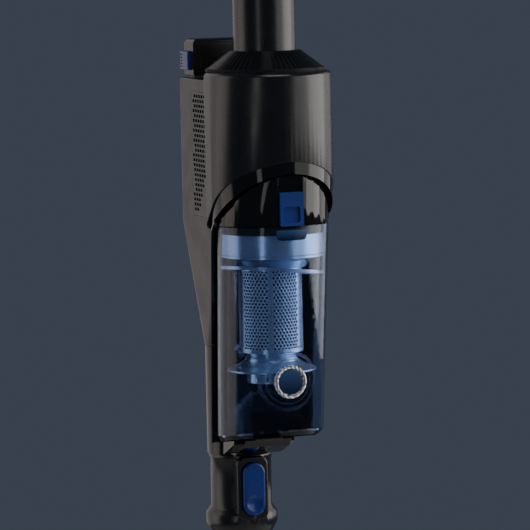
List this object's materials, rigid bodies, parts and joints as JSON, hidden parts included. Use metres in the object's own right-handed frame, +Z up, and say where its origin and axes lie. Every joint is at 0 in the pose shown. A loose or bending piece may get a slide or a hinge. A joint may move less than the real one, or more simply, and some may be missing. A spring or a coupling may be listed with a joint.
{
  "type": "upright vacuum cleaner",
  "caption": "Cordless stick vacuum with a clear tilting cyclone cup, removable battery, detachable wand, loop handle and a motor-driven floor head.",
  "frame": {"origin": "floor level under the centre of the box that bounds the machine", "axes": "+Z up, -Y the front where the cup and latch are, +X to the right seen from the front"},
  "size_m": [0.25, 0.18, 1.18],
  "materials": {
    "shell_gloss_black": "high gloss",
    "shell_satin_black": "satin gloss",
    "housing_satin_black": "semi-gloss moulded",
    "rib_black": "satin",
    "wand_metal": "gloss black coating",
    "button_blue": "satin gloss",
    "cup_tint": "clear tinted plastic",
    "clear_window": "clear plastic",
    "cyclone_silver": "pale steel blue",
    "emblem_chrome": "bright",
    "emblem_blue": "gloss",
    "soft_rubber": "matt",
    "filter_foam": "pleated",
    "motor_metal": "machined",
    "motor_plastic": "moulded",
    "board_green": "solder mask",
    "cell_wrap": "shrink wrap",
    "head_plastic": "moulded",
    "roller_core": "moulded",
    "bristle": "tufted nylon"
  },
  "bodies": {
    "head": {"head_base": "head_plastic", "head_cover": "housing_satin_black", "head_window": "clear_window", "head_bumper": "soft_rubber", "head_squeegee": "soft_rubber", "brush_motor": "motor_plastic", "drive_belt": "soft_rubber"},
    "brush_roller": {"roller_core": "roller_core", "roller_bristles": "bristle"},
    "brush_drive": {"brush_motor_rotor": "motor_metal"},
    "rear_wheel_left": {"rear_wheel_left": "head_plastic"},
    "rear_wheel_right": {"rear_wheel_right": "head_plastic"},
    "front_roller_left": {"front_roller_left": "head_plastic"},
    "front_roller_right": {"front_roller_right": "head_plastic"},
    "neck": {"neck_yoke": "housing_satin_black"},
    "elbow": {"neck_elbow": "housing_satin_black"},
    "head_release_button": {"head_release_button": "button_blue"},
    "wand": {"wand_tube": "wand_metal", "wand_collar": "shell_satin_black", "power_wire": "soft_rubber"},
    "wand_release_button": {"wand_release_button": "button_blue"},
    "main": {"front_shell": "shell_satin_black", "spine_frame": "shell_gloss_black", "rear_cover": "housing_satin_black", "housing_screws": "motor_metal", "vent_grille_left": "rib_black", "vent_grille_right": "rib_black", "shoulder_cone": "rib_black", "shoulder_gasket": "soft_rubber", "upper_tube": "shell_satin_black", "motor_case": "motor_plastic", "motor_mount": "soft_rubber", "motor_stator": "motor_metal", "exhaust_filter": "filter_foam", "circuit_board": "board_green", "terminal_block": "board_green", "handle_shell_left": "housing_satin_black", "handle_shell_right": "housing_satin_black", "grip_pad": "soft_rubber", "status_window": "clear_window"},
    "rotor": {"motor_rotor": "motor_metal", "impeller": "motor_plastic"},
    "battery": {"battery_case": "motor_plastic", "battery_cells": "cell_wrap", "battery_cap": "shell_satin_black"},
    "battery_button_left": {"battery_button_left": "button_blue"},
    "battery_button_right": {"battery_button_right": "button_blue"},
    "bin": {"bin_cup": "cup_tint", "bin_cap": "shell_gloss_black", "bin_seal": "soft_rubber", "premotor_filter": "filter_foam", "cyclone_head": "cyclone_silver", "cyclone_screen": "cyclone_silver", "cyclone_skirt": "cyclone_silver", "inlet_ramp": "cyclone_silver", "emblem_ring": "emblem_chrome", "emblem_disc": "emblem_blue"},
    "bin_latch": {"bin_latch": "button_blue"},
    "trigger": {"trigger": "button_blue"},
    "boost_button": {"boost_button": "button_blue"}
  },
  "joints": [
    {"name": "brush_spin", "type": "hinge", "parent": "head", "child": "brush_roller", "pos_m": [0, -0.057, 0.024], "axis": [1, 0, 0], "continuous": true},
    {"name": "brush_drive_spin", "type": "hinge", "parent": "head", "child": "brush_drive", "pos_m": [0, -0.008, 0.028], "axis": [1, 0, 0], "continuous": true},
    {"name": "rear_wheel_left_spin", "type": "hinge", "parent": "head", "child": "rear_wheel_left", "pos_m": [-0.1, 0.064, 0.014], "axis": [1, 0, 0], "continuous": true},
    {"name": "rear_wheel_right_spin", "type": "hinge", "parent": "head", "child": "rear_wheel_right", "pos_m": [0.1, 0.064, 0.014], "axis": [1, 0, 0], "continuous": true},
    {"name": "front_roller_left_spin", "type": "hinge", "parent": "head", "child": "front_roller_left", "pos_m": [-0.113, -0.057, 0.006], "axis": [1, 0, 0], "continuous": true},
    {"name": "front_roller_right_spin", "type": "hinge", "parent": "head", "child": "front_roller_right", "pos_m": [0.113, -0.057, 0.006], "axis": [1, 0, 0], "continuous": true},
    {"name": "neck_pitch", "type": "hinge", "parent": "head", "child": "neck", "pos_m": [0, 0.058, 0.045], "axis": [-1, 0, 0], "range_deg": [0, 75]},
    {"name": "neck_swivel", "type": "hinge", "parent": "neck", "child": "elbow", "pos_m": [0, 0.058, 0.082], "axis": [0, 0, 1], "range_deg": [-60, 60]},
    {"name": "head_release_press", "type": "slide", "parent": "elbow", "child": "head_release_button", "axis": [0, 1, 0], "range_m": [0, 0.0025], "stiffness_N_per_m": 400, "springref_m": -0.002},
    {"name": "wand_pull", "type": "slide", "parent": "elbow", "child": "wand", "axis": [0, 0, 1], "range_m": [0, 0.04]},
    {"name": "wand_release_press", "type": "slide", "parent": "wand", "child": "wand_release_button", "axis": [0, 1, 0], "range_m": [0, 0.003], "stiffness_N_per_m": 400, "springref_m": -0.002},
    {"name": "body_pull", "type": "slide", "parent": "wand", "child": "main", "axis": [0, 0, 1], "range_m": [0, 0.04]},
    {"name": "impeller_spin", "type": "hinge", "parent": "main", "child": "rotor", "pos_m": [0, -0.0287, 0.822], "axis": [0, 0, 1], "continuous": true},
    {"name": "battery_pull", "type": "slide", "parent": "main", "child": "battery", "axis": [0, 0, 1], "range_m": [0, 0.125]},
    {"name": "battery_button_left_press", "type": "slide", "parent": "battery", "child": "battery_button_left", "axis": [1, 0, 0], "range_m": [0, 0.0025], "stiffness_N_per_m": 400, "springref_m": -0.002},
    {"name": "battery_button_right_press", "type": "slide", "parent": "battery", "child": "battery_button_right", "axis": [-1, 0, 0], "range_m": [0, 0.0025], "stiffness_N_per_m": 400, "springref_m": -0.002},
    {"name": "bin_tilt", "type": "hinge", "parent": "main", "child": "bin", "pos_m": [0, -0.01, 0.59108], "axis": [1, 0, 0], "range_deg": [0, 20]},
    {"name": "bin_latch_slide", "type": "slide", "parent": "bin", "child": "bin_latch", "axis": [0, 0, 1], "range_m": [0, 0.004], "stiffness_N_per_m": 400, "springref_m": -0.002},
    {"name": "trigger_press", "type": "slide", "parent": "main", "child": "trigger", "axis": [0, 1, 0], "range_m": [0, 0.005], "stiffness_N_per_m": 400, "springref_m": -0.002},
    {"name": "boost_press", "type": "slide", "parent": "main", "child": "boost_button", "axis": [0, 1, 0], "range_m": [0, 0.0018], "stiffness_N_per_m": 400, "springref_m": -0.002}
  ],
  "couplings": [
    {"joint": "brush_drive_spin", "follows": "brush_spin", "ratio": 2}
  ]
}
